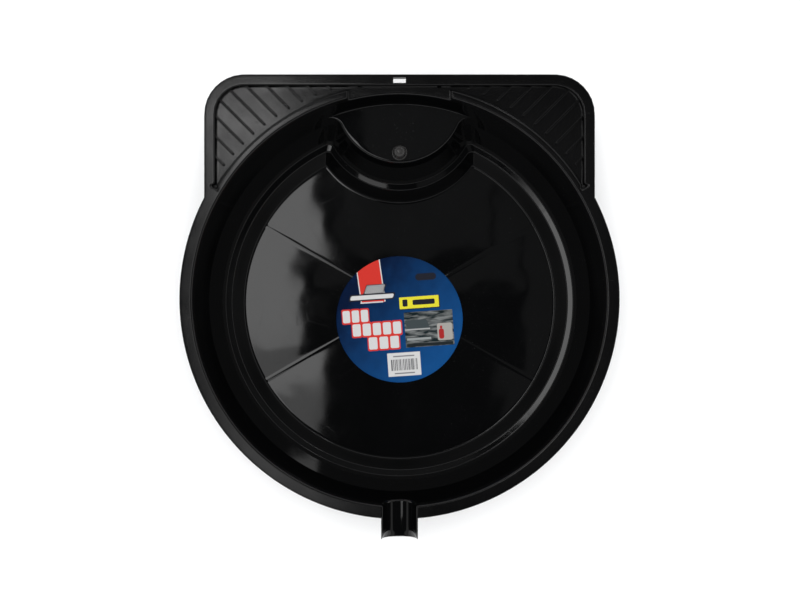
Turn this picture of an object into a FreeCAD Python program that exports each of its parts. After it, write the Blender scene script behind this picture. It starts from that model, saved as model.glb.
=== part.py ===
"""Oil drain pan: a round stepped basin with a filter ledge, square shoulders and a pouring spout.

The pan is one thin-walled plastic moulding with one paper label stuck in it. The moulding is built
here as regions that meet face to face along its own feature lines, each in its own file.

Frame, in millimetres: the origin is on the basin's axis, on the ground. +Z is up, +Y points to the
shoulders that carry the hanging slot, and the spout points to -Y.
"""
import FreeCAD, Part
import math
import os

V = FreeCAD.Vector

# The moulding
wall = 1.8  # thickness everywhere
rim_top = 96.0  # height of the rim
rim_radius = 200.0  # outside of the round rim
skirt_depth = 12.0  # turned-down edge all round

# The basin's inner skin. Its plan outline is the ledge-level outline moved in by an inset.
ledge_level = 71.0
basin_radius = 182.0  # of the basin at ledge level
rim_inset = -6.5
crease_level, crease_inset = 59.0, 3.0  # where the wall turns a little steeper
step_level, step_inset = 27.0, 13.5  # outer edge of the narrow step
step_drop, step_width = 1.0, 6.0
heel_level, heel_inset = 8.0, 28.5  # where the wall reaches the floor
corner_radius = 10.0  # where the basin and the ledge meet, at ledge level
corner_fade = 40.0  # the inset at which those corners would be sharp

# The floor: six flat facets that fall to the middle
facets = 6
floor_middle = 3.0
floor_slope = 0.033
facet_reach = 250.0  # how far the facets' construction runs, past the wall
foot_width = 3.5
foot_inset = 28.2

# The ledge that an oil filter drains on
ledge_axis_y = 188.0
ledge_radius = 60.0
ledge_sector = 29.0  # degrees each side of +Y that belong to the ledge's node
peg_y = 137.0
peg_radius, peg_height, peg_dome = 6.0, 11.0, 5.0
peg_root_radius = 7.0  # of its root in the ledge, flush with the top

# The shoulders: a raised rail outside, a raised bead beside the basin, lower trays between
shoulder_half = 177.5
shoulder_back = 204.0
shoulder_corner = 36.5
rail_width = 10.0
bead_radius = 195.0  # outside of the bead
recess_depth = 5.0
grip_half = 47.0  # half the gap in the bead, for the fingers
rib_pitch = 18.5  # along X, of ribs that lie at 45 degrees
rib_first = -37.8  # x + y of the first rib of the left tray
rib_count = 10
rib_width, rib_height = 2.4, 2.6
rib_end_radius = 201.6  # the ribs stop this far from the basin's axis
slot_width, slot_height = 11.4, 5.2
slot_edge = 2.9  # from the slot to the rail's outer edge

# The spout
spout_tip = 218.0
spout_inner_half = 14.8
spout_depth = 15.5

# The label
label_radius = 62.5
label_y = -16.0
label_thickness = 0.3

tray_level = rim_top - recess_depth
deck_under = tray_level - wall  # underside of the trays
across = wall * math.sqrt(1 + (rim_inset / (rim_top - ledge_level)) ** 2)  # the wall measured level
over = 20.0  # how far a cutting tool runs past what it cuts


def cylinder(radius, low, high, y=0.0):
    return Part.makeCylinder(radius, high - low, V(0, y, low))


def block(x0, x1, y0, y1, z0, z1):
    return Part.makeBox(x1 - x0, y1 - y0, z1 - z0, V(x0, y0, z0))


def polar(radius, degrees, z=0.0):
    """A point at an angle measured from +Y towards +X."""
    angle = math.radians(degrees)
    return V(radius * math.sin(angle), radius * math.cos(angle), z)


def mirrored(shape):
    return shape.mirror(V(0, 0, 0), V(1, 0, 0))


# ---------------------------------------------------------------- the basin's outline


def outline_wire(z, inset, skin=0.0):
    """The basin's outline round the ledge at one height; skin moves it outwards, into the wall."""
    basin = basin_radius - inset + skin
    ledge = ledge_radius + inset - skin
    corner = corner_radius * (1 - inset / corner_fade) + skin
    to_basin, to_ledge = basin - corner, ledge + corner
    cosine = (to_basin**2 + ledge_axis_y**2 - to_ledge**2) / (2 * to_basin * ledge_axis_y)
    turn = math.degrees(math.acos(cosine))
    centre = polar(to_basin, turn, z)
    axis = V(0, ledge_axis_y, z)
    on_basin = polar(basin, turn, z)
    on_ledge = axis + (centre - axis) * (ledge / to_ledge)
    bulge = (on_basin - centre).normalize() + (on_ledge - centre).normalize()
    middle = centre + bulge.normalize() * corner

    def flip(p):
        return V(-p.x, p.y, p.z)

    front = V(0, -basin, z)
    arcs = [
        (front, polar(basin, 90 + turn / 2, z), on_basin),
        (on_basin, middle, on_ledge),
        (on_ledge, V(0, ledge_axis_y - ledge, z), flip(on_ledge)),
        (flip(on_ledge), flip(middle), flip(on_basin)),
        (flip(on_basin), flip(polar(basin, 90 + turn / 2, z)), front),
    ]
    return Part.Wire([Part.Arc(*arc).toShape() for arc in arcs])


def stack(levels, skin=0.0):
    """A solid through the outlines at (height, inset) levels, with straight sides between them."""
    return Part.makeLoft([outline_wire(z, inset, skin) for z, inset in levels], True, True)


def below_facets(lift):
    """The ground under the six facets that fall to the middle, raised by lift."""
    low = floor_middle + lift
    high = low + floor_slope * facet_reach * math.cos(math.pi / facets)
    turn = 360 / facets
    rim = [polar(facet_reach, turn * k, high) for k in range(facets)]
    base = [polar(facet_reach, turn * k, -over) for k in range(facets)]
    apex = V(0, 0, low)
    rings = [base]
    for k in range(facets):
        after = (k + 1) % facets
        rings += [[apex, rim[k], rim[after]], [rim[k], base[k], base[after], rim[after]]]
    faces = [Part.Face(Part.makePolygon(ring + ring[:1])) for ring in rings]
    return Part.makeSolid(Part.makeShell(faces))


def inset_at(z):
    """The inner skin's inset on the two long slopes, above and below the step."""
    if z >= ledge_level:
        return rim_inset * (z - ledge_level) / (rim_top - ledge_level)
    if z >= crease_level:
        return crease_inset * (ledge_level - z) / (ledge_level - crease_level)
    if z >= step_level:
        share = (crease_level - z) / (crease_level - step_level)
        return crease_inset + share * (step_inset - crease_inset)
    tread = step_level - step_drop
    inner = step_inset + step_width
    return inner + (tread - z) / (tread - heel_level) * (heel_inset - inner)


def basin_space():
    """What the basin holds when it is full, and the air over it."""
    top = Part.makeCone(
        basin_radius, basin_radius - rim_inset, rim_top - ledge_level, V(0, 0, ledge_level)
    )
    air = cylinder(basin_radius - rim_inset, rim_top, rim_top + over)
    tread = step_level - step_drop
    levels = [
        (ledge_level, 0.0),
        (crease_level, crease_inset),
        (step_level, step_inset),
        (tread, step_inset + step_width),
        (floor_middle, inset_at(floor_middle)),
    ]
    return top.fuse([air, stack(levels).cut(below_facets(0))])


def basin_block():
    """The same body with the wall's thickness added outside."""
    low = ledge_level - wall
    foot, head = [basin_radius - inset_at(z) + across for z in (low, rim_top)]
    top = Part.makeCone(foot, head, rim_top - low, V(0, 0, low))
    tread = step_level - step_drop
    inner = step_inset + step_width
    levels = [
        (low, inset_at(low)),
        (crease_level, crease_inset),
        (step_level - wall, step_inset + 0.5),
        (tread - wall, inner + 0.9),
        (0.5, inset_at(0.5)),
    ]
    return top.fuse(stack(levels, across).cut(below_facets(-wall)))


# ---------------------------------------------------------------- the shoulders' outline


def shoulder(inset, low, high):
    """The square-shouldered plate behind the basin, its outer sides moved in by inset."""
    half, back, corner = shoulder_half - inset, shoulder_back - inset, shoulder_corner - inset
    cut = corner * (1 - math.sqrt(0.5))
    right = [V(half, 0, low), V(half, back - corner, low), V(half - cut, back - cut, low)]
    left = [V(-p.x, p.y, low) for p in right]
    top_right, top_left = V(half - corner, back, low), V(corner - half, back, low)
    edges = [
        Part.makeLine(right[0], right[1]),
        Part.Arc(right[1], right[2], top_right).toShape(),
        Part.makeLine(top_right, top_left),
        Part.Arc(top_left, left[2], left[1]).toShape(),
        Part.makeLine(left[1], left[0]),
        Part.makeLine(left[0], right[0]),
    ]
    return Part.Face(Part.Wire(edges)).extrude(V(0, 0, high - low))


def plan(inset, low, high):
    """The pan's whole outline from above, without the spout."""
    return cylinder(rim_radius - inset, low, high).fuse(shoulder(inset, low, high))


def recess(grow, low, high):
    """The lowered trays and the finger gap between them, made larger by grow."""
    field = shoulder(rail_width - grow, low, high)
    trays = field.cut(cylinder(bead_radius - grow, low, high))
    reach = grip_half + grow
    gap = field.common(block(-reach, reach, 150, shoulder_back, low, high))
    return trays.fuse(gap)


def deck(space):
    """Rim, rail, bead and trays as one thin plate with a skirt, open over the basin."""
    skirt_end = rim_top - skirt_depth
    whole = plan(0, skirt_end, rim_top).cut(recess(0, tray_level, rim_top + 1))
    basin_top = basin_radius - rim_inset + wall
    under = plan(wall, skirt_end - 1, deck_under)
    hollow = plan(wall, deck_under, rim_top - wall)
    hollow = hollow.cut(recess(wall, deck_under - 1, rim_top))
    hollow = hollow.cut(cylinder(basin_top, deck_under - 1, rim_top))
    return whole.cut([under, hollow, space])


def sector(low, high):
    """A wedge about +Y that holds the ledge."""
    reach = 300.0
    corners = [V(0, 0, low), polar(reach, -ledge_sector, low), polar(reach, ledge_sector, low)]
    return Part.Face(Part.makePolygon(corners + corners[:1])).extrude(V(0, 0, high - low))


# ---------------------------------------------------------------- spout, ribs, peg, label


def channel(half, low_point, start, end, high):
    """A U section with a round bottom, drawn out along Y."""
    centre = low_point + half
    pieces = [V(-half, start, high), V(-half, start, centre), V(0, start, low_point)]
    pieces += [V(half, start, centre), V(half, start, high)]
    edges = [
        Part.makeLine(pieces[0], pieces[1]),
        Part.Arc(pieces[1], pieces[2], pieces[3]).toShape(),
        Part.makeLine(pieces[3], pieces[4]),
        Part.makeLine(pieces[4], pieces[0]),
    ]
    return Part.Face(Part.Wire(edges)).extrude(V(0, end - start, 0))


def spout_block(high):
    return channel(
        spout_inner_half + wall, rim_top - spout_depth - wall, -spout_tip, -150.0, high
    )


def pouring_spout(space):
    bore = channel(
        spout_inner_half, rim_top - spout_depth, -spout_tip - 1, -140.0, rim_top + 1
    )
    return spout_block(rim_top).cut([bore, space])


def tray_ribs():
    """Low bars at 45 degrees across the left tray, from the rail to a line beside the bead."""
    inside = shoulder(rail_width, tray_level, rim_top)
    bars = []
    for k in range(rib_count):
        level = rib_first + rib_pitch * k
        # the bar runs along x + y = level, from its end near the bead outwards to the rail
        drop = math.sqrt(2 * rib_end_radius**2 - level**2)
        end = V((level - drop) / 2, (level + drop) / 2, tray_level)
        length = 90.0
        bar = Part.makeBox(length, rib_width, rib_height, V(0, -rib_width / 2, 0))
        tip = Part.makeCylinder(rib_width / 2, rib_height, V(0, 0, 0))
        bar = bar.fuse(tip).removeSplitter()
        bar = bar.makeFillet(0.8, [e for e in bar.Edges if e.CenterOfMass.z > rib_height - 0.01])
        bar.rotate(V(0, 0, 0), V(0, 0, 1), 135)
        bar.translate(end)
        bar = bar.common(inside)
        if bar.Volume > 5:
            bars.append(bar)
    return Part.makeCompound([solid for bar in bars for solid in bar.Solids])


def filter_peg():
    """The stub that goes up into the filter's own thread, with its root in the ledge."""
    stub = cylinder(peg_radius, ledge_level, ledge_level + peg_height, peg_y)
    top = [e for e in stub.Edges if e.CenterOfMass.z > ledge_level + peg_height - 0.01]
    root = cylinder(peg_root_radius, ledge_level - wall, ledge_level, peg_y)
    return root.fuse(stub.makeFillet(peg_dome, top))


def round_label():
    disc = cylinder(label_radius, 0, 30, label_y)
    return disc.common(below_facets(label_thickness)).cut(below_facets(0))


def foot_ring():
    """A low ring under the edge of the floor, which carries the pan."""
    outer = stack([(0, foot_inset), (heel_level, foot_inset)])
    inner = stack([(-1, foot_inset + foot_width), (heel_level + 1, foot_inset + foot_width)])
    return outer.cut(inner).common(below_facets(-wall))


def main():
    os.makedirs("parts", exist_ok=True)
    space = basin_space()
    basin = basin_block().cut(space)
    top_deck = deck(space)
    gate = spout_block(rim_top + 1)

    floor_top = heel_level + 0.6
    below = block(-250, 250, -250, 250, -5, floor_top)
    lower = block(-250, 250, -250, 250, floor_top, step_level)
    upper = block(-250, 250, -250, 250, step_level, deck_under)
    wedge = sector(floor_top, deck_under)
    walls = basin.cut(wedge)

    field = shoulder(rail_width, 0, 120)
    back_half = block(-300, 300, math.sqrt(rim_radius**2 - shoulder_half**2), 300, 0, 120)
    behind = top_deck.common(back_half)
    bead_zone = cylinder(bead_radius, 0, 120)
    gap_zone = block(-grip_half, grip_half, 100, 300, 0, tray_level)
    inner_deck = behind.common(field)
    slot_end = shoulder_back - slot_edge
    slot = block(
        -slot_width / 2, slot_width / 2, slot_end - slot_height, slot_end, deck_under, rim_top + 1
    )
    left_half = block(-300, 0, -10, 300, 0, 120)
    outside_bead = inner_deck.cut([bead_zone, gap_zone])
    left_tray = outside_bead.common(left_half)
    ribs = tray_ribs()
    peg = filter_peg()

    nodes = {
        "basin_floor": basin.common(below),
        "foot_ring": foot_ring(),
        "lower_wall": walls.common(lower),
        "upper_wall": walls.common(upper).cut(gate),
        "filter_ledge": basin.common(wedge).cut(peg),
        "filter_peg": peg,
        "round_rim": top_deck.cut([back_half, gate]),
        "inner_bead": inner_deck.common(bead_zone).cut(gap_zone),
        "finger_gap": inner_deck.common(gap_zone),
        "outer_rail": behind.cut([field, slot]),
        "left_tray": left_tray,
        "right_tray": mirrored(left_tray),
        "left_tray_ribs": ribs,
        "right_tray_ribs": mirrored(ribs),
        "pouring_spout": pouring_spout(space),
        "round_label": round_label(),
    }
    for name, shape in nodes.items():
        solids = shape.Solids
        whole = solids[0] if len(solids) == 1 else Part.makeCompound(solids)
        whole.exportStep(f"parts/{name}.step")
        box = whole.BoundBox
        print(
            f"{name}: {len(solids)} solid(s), valid {whole.isValid()}, {whole.Volume / 1000:.2f} cm3,"
            f" x {box.XMin:.1f}..{box.XMax:.1f} y {box.YMin:.1f}..{box.YMax:.1f}"
            f" z {box.ZMin:.2f}..{box.ZMax:.2f}"
        )
    for name, level in (("trays", tray_level), ("rim", rim_top)):
        print(f"it holds {space.common(cylinder(260, 0, level)).Volume / 1e6:.2f} litres to its {name}")


main()
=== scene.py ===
import math

import bmesh
import bpy
import numpy as np
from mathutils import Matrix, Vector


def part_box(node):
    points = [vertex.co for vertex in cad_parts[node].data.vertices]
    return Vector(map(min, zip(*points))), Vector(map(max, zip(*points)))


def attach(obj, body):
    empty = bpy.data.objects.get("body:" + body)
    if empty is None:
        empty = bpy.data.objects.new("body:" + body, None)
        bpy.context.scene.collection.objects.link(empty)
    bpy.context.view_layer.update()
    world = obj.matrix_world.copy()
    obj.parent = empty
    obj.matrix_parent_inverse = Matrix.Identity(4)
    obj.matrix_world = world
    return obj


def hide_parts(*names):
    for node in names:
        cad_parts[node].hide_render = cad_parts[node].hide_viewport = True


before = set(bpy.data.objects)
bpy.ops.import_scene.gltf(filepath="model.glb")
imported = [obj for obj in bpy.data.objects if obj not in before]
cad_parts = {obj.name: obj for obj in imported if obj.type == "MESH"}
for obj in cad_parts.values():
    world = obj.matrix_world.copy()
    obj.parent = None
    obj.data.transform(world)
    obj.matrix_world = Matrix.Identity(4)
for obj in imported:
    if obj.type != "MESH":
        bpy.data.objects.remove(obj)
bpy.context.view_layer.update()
print("frame loaded")

# what the frame gives, in metres
rimLow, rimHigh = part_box("round_rim")
trayLow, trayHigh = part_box("right_tray")
ribLow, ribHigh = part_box("right_tray_ribs")
pegLow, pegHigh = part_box("filter_peg")
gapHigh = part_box("finger_gap")[1]
spoutLow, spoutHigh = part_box("pouring_spout")
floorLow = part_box("basin_floor")[0]
footLow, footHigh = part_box("foot_ring")
labelLow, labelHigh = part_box("round_label")
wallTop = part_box("upper_wall")[1].z
wall = trayHigh.z - trayLow.z
rimTop, rimRadius, skirtEnd = rimHigh.z, rimHigh.x, rimLow.z
trayLevel = trayHigh.z
floorMiddle = floorLow.z + wall

camera = {
    "height": 1.0,  # above the rim
    "side": 0.00045,
    "back": 0.046,
    "width": 0.7255,  # what it sees across, at the rim
    "centre": -0.001,
    "sensor": 36,
}


def addCamera():
    data = bpy.data.cameras.new("camera")
    data.sensor_width, data.clip_start = camera["sensor"], 0.01
    data.lens = data.sensor_width * camera["height"] / camera["width"]
    data.shift_y = (camera["centre"] + camera["back"]) / camera["width"]
    lens = bpy.data.objects.new("camera", data)
    bpy.context.collection.objects.link(lens)
    lens.location = (camera["side"], -camera["back"], rimTop + camera["height"])
    bpy.context.scene.camera = lens


addCamera()
print("camera placed")


def addNode(tree, kind, inputs=None, **settings):
    node = tree.nodes.new(kind)
    for name, value in settings.items():
        setattr(node, name, value)
    for key, value in (inputs or {}).items():
        if isinstance(value, bpy.types.NodeSocket):
            tree.links.new(value, node.inputs[key])
        else:
            node.inputs[key].default_value = value
    return node


def calc(tree, operation, *values, clamp=False):  # one step of arithmetic
    inputs = dict(enumerate(values))
    return addNode(tree, "ShaderNodeMath", inputs, operation=operation, use_clamp=clamp).outputs[0]


def spread(tree, value, low, high, toLow=0.0, toHigh=1.0, smooth=False):  # maps a range onto another
    kind = "SMOOTHSTEP" if smooth else "LINEAR"
    inputs = {"Value": value, "From Min": low, "From Max": high, "To Min": toLow, "To Max": toHigh}
    return addNode(tree, "ShaderNodeMapRange", inputs, interpolation_type=kind).outputs["Result"]


studio = {
    "floorColour": (0.93, 0.935, 0.94, 1),
    "horizon": 0.95,  # brightness of the low light all round
    "zenith": 0.018,
    "bandEnds": (0.22, 0.64),  # heights of the unit sky between which the low light fades out
    "ring": 0.42,  # brightness of a second band, higher up
    "ringStart": (0.53, 0.58),
    "ringEnd": (0.75, 0.69),
    "fill": 3.3,  # the broad light from above that gloss doesn't show
    "fillAngle": 75,
    "tableHalf": 14.0,
    "tableGap": 0.0002,
    "panels": [  # name, centre, size and brightness of the lights that show in gloss
        ("panelLeft", (-0.283, 0.205, 1.75), (0.296, 0.47), 2.7),
        ("panelTray", (-0.370, 0.512, 1.75), (0.220, 0.145), 4.8),
        ("panelLeftLow", (-0.283, -0.245, 1.75), (0.296, 0.43), 1.35),
        ("panelRight", (0.33, 0.10, 1.75), (0.30, 0.9), 0.10),
        ("panelBack", (0.04, 0.36, 1.75), (0.26, 0.5), 0.10),
        ("lampBehind", (0.66, 1.20, 1.30), (0.20, 0.12), 7.0),
    ],
}


def addStudio():
    scene = bpy.context.scene
    scene.view_settings.view_transform = "Standard"
    world = bpy.data.worlds.new("sky")
    scene.world = world
    world.use_nodes = True
    tree = world.node_tree
    tree.nodes.clear()
    direction = addNode(tree, "ShaderNodeTexCoord").outputs["Generated"]
    height = addNode(tree, "ShaderNodeSeparateXYZ", {0: direction}).outputs["Z"]
    low, high = studio["bandEnds"]
    strength = spread(tree, height, low, high, studio["horizon"], studio["zenith"], smooth=True)
    rising = spread(tree, height, *studio["ringStart"], smooth=True)
    falling = spread(tree, height, *studio["ringEnd"], smooth=True)
    ring = calc(tree, "MULTIPLY", calc(tree, "MULTIPLY", rising, falling), studio["ring"])
    strength = calc(tree, "ADD", strength, ring)
    sky = addNode(tree, "ShaderNodeBackground", {"Color": (1, 1, 1, 1), "Strength": strength})
    addNode(tree, "ShaderNodeOutputWorld", {"Surface": sky.outputs[0]})

    for name, centre, size, brightness in studio["panels"]:
        data = bpy.data.lights.new(name, "AREA")
        data.shape, data.size, data.size_y = "RECTANGLE", size[0], size[1]
        data.energy = brightness * math.pi * size[0] * size[1]
        panel = bpy.data.objects.new(name, data)
        bpy.context.collection.objects.link(panel)
        panel.location = centre
        panel.visible_camera = False
    data = bpy.data.lights.new("fill", "SUN")
    data.energy, data.angle = studio["fill"], math.radians(studio["fillAngle"])
    fill = bpy.data.objects.new("fill", data)
    bpy.context.collection.objects.link(fill)
    fill.visible_glossy = False

    mesh = bpy.data.meshes.new("tableTop")
    half = studio["tableHalf"]
    corners = [(-half, -half, 0), (half, -half, 0), (half, half, 0), (-half, half, 0)]
    mesh.from_pydata(corners, [], [(0, 1, 2, 3)])
    top = bpy.data.objects.new("tableTop", mesh)
    bpy.context.collection.objects.link(top)
    top.location.z = -studio["tableGap"]
    paper = bpy.data.materials.new("palePaper")
    paper.use_nodes = True
    shader = paper.node_tree.nodes["Principled BSDF"]
    shader.inputs["Base Color"].default_value = studio["floorColour"]
    shader.inputs["Roughness"].default_value = 0.9
    shader.inputs["Specular IOR Level"].default_value = 0.1
    mesh.materials.append(paper)


addStudio()
print("studio lit")


def unit(vector):
    return vector / np.linalg.norm(vector)


def spin(vector, angle):
    c, s = math.cos(angle), math.sin(angle)
    return np.array((c * vector[0] - s * vector[1], s * vector[0] + c * vector[1]))


def polar(radius, degrees):  # a plan point; angles run from +Y towards +X
    angle = math.radians(degrees)
    return radius * np.array((math.sin(angle), math.cos(angle)))


def clamped(value):
    return min(max(value, 0), 1)


def ramp(value, low, high):
    share = clamped((value - low) / (high - low))
    return share * share * (3 - 2 * share)


# an open line with its corners rounded, as points and directions
def roundedLine(corners, radii, steps=4):
    points = [np.array(c, float) for c in corners]
    line = [(points[0], unit(points[1] - points[0]))]
    for before, at, after, radius in zip(points, points[1:], points[2:], radii):
        into, out = unit(at - before), unit(after - at)
        turn = math.atan2(into[0] * out[1] - into[1] * out[0], float(np.dot(into, out)))
        start = at - into * radius * math.tan(abs(turn) / 2)
        centre = start + spin(into, math.copysign(math.pi / 2, turn)) * radius
        for k in range(steps + 1):
            line.append((centre + spin(start - centre, turn * k / steps), spin(into, turn * k / steps)))
    line.append((points[-1], unit(points[-1] - points[-2])))
    return line


def divided(points, longest):  # more points on the long straight stretches of a line
    result = [points[0]]
    for before, after in zip(points, points[1:]):
        parts = max(1, math.ceil(np.linalg.norm(np.subtract(after, before)) / longest))
        result += [before + (after - before) * k / parts for k in range(1, parts + 1)]
    return np.array(result)


basin = {
    "radius": 0.182,  # at the ledge's level
    "ledgeLevel": 0.071,
    "lean": 0.26,  # how far the wall above the ledge leans out, per unit of height
    "ledgeAxis": 0.188,
    "ledgeRadius": 0.060,
    "corner": 0.010,  # where the round basin meets the ledge
    "cornerFade": 0.040,  # how far in those corners turn sharp
    "stepLevel": 0.026,
    "heelLevel": 0.008,
    "profile": [  # the wall's inset and height at each bend, from the ledge's level down
        (0, 0.071),
        (0.003, 0.059),
        (0.0135, 0.027),
        (0.0195, 0.026),
        (0.0285, 0.008),
        (0.0315, 0.008),
    ],
    "bends": [0.0030, 0.0016, 0.0020, 0.0026],
    "edge": 0.0024,  # rounding of the ledge's front edge
    "foot": 0.0012,  # rounding where the wall meets the ledge
    "lip": 0.0022,  # rounding of the basin's upper edge
    "floorRows": 44,
    "evenColumns": 105,
    "creaseColumns": (-1.2, -0.7, -0.35, 0, 0.35, 0.7, 1.2),  # degrees to either side of a crease
    "weld": 0.00001,
    "sliver": 0.000002,
}
deck = {
    "beadRadius": 0.195,
    "railWidth": 0.010,
    "shoulderHalf": 0.1775,
    "shoulderBack": 0.204,
    "shoulderCorner": 0.0365,
    "lipEdge": 0.0018,  # rounding across the ends of the raised bead
    "lipHollow": 0.0015,
    "beadEdge": 0.0018,
    "railEdge": 0.0014,
    "hollow": 0.0012,  # rounding at the foot of both
    "draft": 0.00035,
    "skirtLean": 0.00010,
    "skirtEdge": 0.0012,
    "slotHalf": 0.0057,
    "slotRows": (0.0081, 0.0029),  # the slot's sides, measured in from the outer edge
    "trayRows": 3,
    "shoulderColumns": (57.6, 58.1, 58.6, 61.8, 62.1, 62.35, 62.8, 63.1, 63.6),  # in degrees
    "gapPitch": 0.0022,  # between columns in the finger gap
    "gapColumnsEnd": 0.0445,
    "beadColumns": (0.0510, 0.0532, 0.0552),
    "gapSide": 0.0017,  # half the rounded step at the gap's ends
    "spacingFade": (0.025, 0.040),
    "frontTurn": 14,  # degrees over which the columns turn to run straight at the spout
    "backTurn": (16, 32),
    "grooveFade": 0.0032,  # width of groove under which the tray narrows to nothing
    "depthFade": 0.0015,
    "lipSkin": 0.0017,  # thickness where a rounded edge has to be thinner than the wall
    "railSkin": 0.0014,
    "cornerSkin": 0.0012,
    "skirtSkin": 0.0016,
    "edgeRows": 5,
    "cornerRows": 8,
}
spout = {
    "throat": 0.0134,
    "edge": 0.0018,
    "flare": 0.0011,
    "flareLength": 0.006,
    "tip": -spoutLow.y,
    "stops": (0.1978, 0.203, 0.2075),  # rows on the way out to the flare
    "steps": 10,
    "lipThinFrom": 16,  # the columns from which the edge's thinner wall starts
    "wallThinFrom": 12,
}

wallSlope = math.atan2(1, basin["lean"])
lipRun = basin["lip"] * math.sin(wallSlope)
lipDrop = basin["lip"] * (1 - math.cos(wallSlope))


def meeting(inset):  # the corner between the round basin and the ledge, at one inset
    big, small = basin["radius"] - inset, basin["ledgeRadius"] + inset
    corner = basin["corner"] * (1 - inset / basin["cornerFade"])
    toBasin, toLedge, axis = big - corner, small + corner, basin["ledgeAxis"]
    turn = math.degrees(math.acos((toBasin**2 + axis**2 - toLedge**2) / (2 * toBasin * axis)))
    centre = polar(toBasin, turn)
    end = math.degrees(math.atan2(-centre[0], axis - centre[1]))
    return {"big": big, "small": small, "corner": corner, "turn": turn, "centre": centre, "end": end}


atLedge = meeting(0)


def wallRadius(z):  # of the basin above the ledge's level
    return basin["radius"] + basin["lean"] * (z - basin["ledgeLevel"])


def lipColumn(x, z, into, kind):  # where a point of the upper edge comes down onto the wall
    footX, footZ = x + into[0] * lipDrop, z + into[1] * lipDrop
    angle = math.degrees(math.asin(footX / wallRadius(footZ)))
    if kind == "round":
        angle = 180 - angle
    return {"x": x, "z": z, "into": into, "footZ": footZ, "angle": angle, "kind": kind}


def spoutColumns():
    low, half = spoutLow.z + wall, spoutHigh.x - wall
    corners = [(0, low), (half, low), (half, rimTop), (half + 0.01, rimTop)]
    line = roundedLine(corners, [spout["throat"], spout["edge"]], spout["steps"])
    return [lipColumn(p[0], p[1], (t[1], -t[0]), "round") for p, t in line[:-1]]


def backColumns():
    grip, lean = gapHigh.x, 0.0003
    corners = [(0, trayLevel), (grip - lean, trayLevel), (grip + lean, rimTop), (0.06, rimTop)]
    line = roundedLine(corners, [deck["lipHollow"], deck["lipEdge"]])
    marks = [(p, t) for p, t in line[1:-1]]
    pitch, slotHalf = deck["gapPitch"], deck["slotHalf"]
    flats = [x for x in np.arange(pitch, deck["gapColumnsEnd"], pitch) if abs(x - slotHalf) > 0.0009]
    marks += [((x, trayLevel), (1, 0)) for x in flats + [0, 0.0005, 0.0010, slotHalf]]
    marks += [((x, rimTop), (1, 0)) for x in deck["beadColumns"]]
    return [lipColumn(p[0], p[1], (t[1], -t[0]), "ledge") for p, t in sorted(marks, key=lambda m: -m[0][0])]


def halfColumns():  # from the middle of the spout round to the middle of the back
    top = {"x": None, "z": rimTop, "into": (0, -1), "footZ": rimTop - lipDrop}
    columns = spoutColumns()
    first = columns[-1]["angle"]
    crease = [60 * k + d for k in (1, 2) for d in basin["creaseColumns"]]
    shoulder = math.degrees(math.asin(deck["shoulderHalf"] / rimRadius))
    placed = crease + list(deck["shoulderColumns"]) + [shoulder]
    even = np.linspace(atLedge["turn"], first, basin["evenColumns"])[1:-1]
    even = [a for a in even if min(abs(a - b) for b in placed) > 0.5]
    angles = sorted(placed + even + [atLedge["turn"]])
    columns += [{**top, "kind": "round", "angle": a} for a in reversed(angles)]
    for share in np.linspace(0, 1, 12)[1:]:
        bearing = math.radians(atLedge["turn"] + (atLedge["end"] - atLedge["turn"]) * share)
        x = atLedge["centre"][0] + atLedge["corner"] * math.sin(bearing)
        angle = math.degrees(math.asin(x / basin["radius"]))
        columns.append({**top, "kind": "corner", "share": share, "angle": angle})
    bearing0 = atLedge["end"] + 180
    for column in backColumns():
        x = basin["radius"] * math.sin(math.radians(column["angle"]))
        bearing = 180 - math.degrees(math.asin(x / basin["ledgeRadius"]))
        columns.append({**column, "share": (bearing - bearing0) / (180 - bearing0)})
    return columns, shoulder


columns, shoulderAngle = halfColumns()
spoutEnd = len(spoutColumns()) - 1
shoulderStart = next(k for k, c in enumerate(columns) if c["angle"] < shoulderAngle + 1e-6)
cusp = next(k for k, c in enumerate(columns) if c["kind"] == "corner") - 1
ledgeStart = next(k for k, c in enumerate(columns) if c["angle"] < 29)
gapStart = next(k for k, c in enumerate(columns) if c["kind"] == "ledge" and c["z"] < trayLevel + 1e-6)
print(f"{len(columns)} columns of points in each half of the moulding")


# a plan point of the basin's wall, and its direction into the plastic
def outlinePoint(column, at):
    if column["kind"] == "round":
        angle = column["angle"]
        if angle < 60:
            angle = 60 - (60 - angle) * (60 - at["turn"]) / (60 - atLedge["turn"])
        return polar(at["big"], angle), polar(1, angle)
    if column["kind"] == "corner":
        into = polar(1, at["turn"] + (at["end"] - at["turn"]) * column["share"])
        return at["centre"] + into * at["corner"], into
    first = at["end"] + 180
    into = -polar(1, first + (180 - first) * column["share"])
    return np.array((0, basin["ledgeAxis"])) - into * at["small"], into


def outline(inset):
    at = meeting(inset)
    return [outlinePoint(c, at) for c in columns]


sheet = {"points": [], "share": [], "skin": [], "faces": [], "region": []}
regionNames = ["basin_floor", "lower_wall", "upper_wall", "filter_ledge", "round_rim", "inner_bead"]
regionNames += ["finger_gap", "outer_rail", "right_tray", "left_tray", "pouring_spout"]


# adds points in rows and columns; nameOf says what a face belongs to
def addPatch(points, nameOf, share=None, skin=None):
    points = np.array(points, float)
    rows, count = points.shape[:2]
    start = len(sheet["points"])
    sheet["points"] += points.reshape(-1, 3).tolist()
    for key, value, plain in (("share", share, 0.0), ("skin", skin, wall)):
        filled = np.broadcast_to(plain if value is None else value, (rows, count))
        sheet[key] += filled.reshape(-1).tolist()
    for r in range(rows - 1):
        for c in range(count - 1):
            name = nameOf(r, c)
            if name:
                a = start + r * count + c
                sheet["faces"].append((a, a + 1, a + count + 1, a + count))
                sheet["region"].append(regionNames.index(name))


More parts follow.
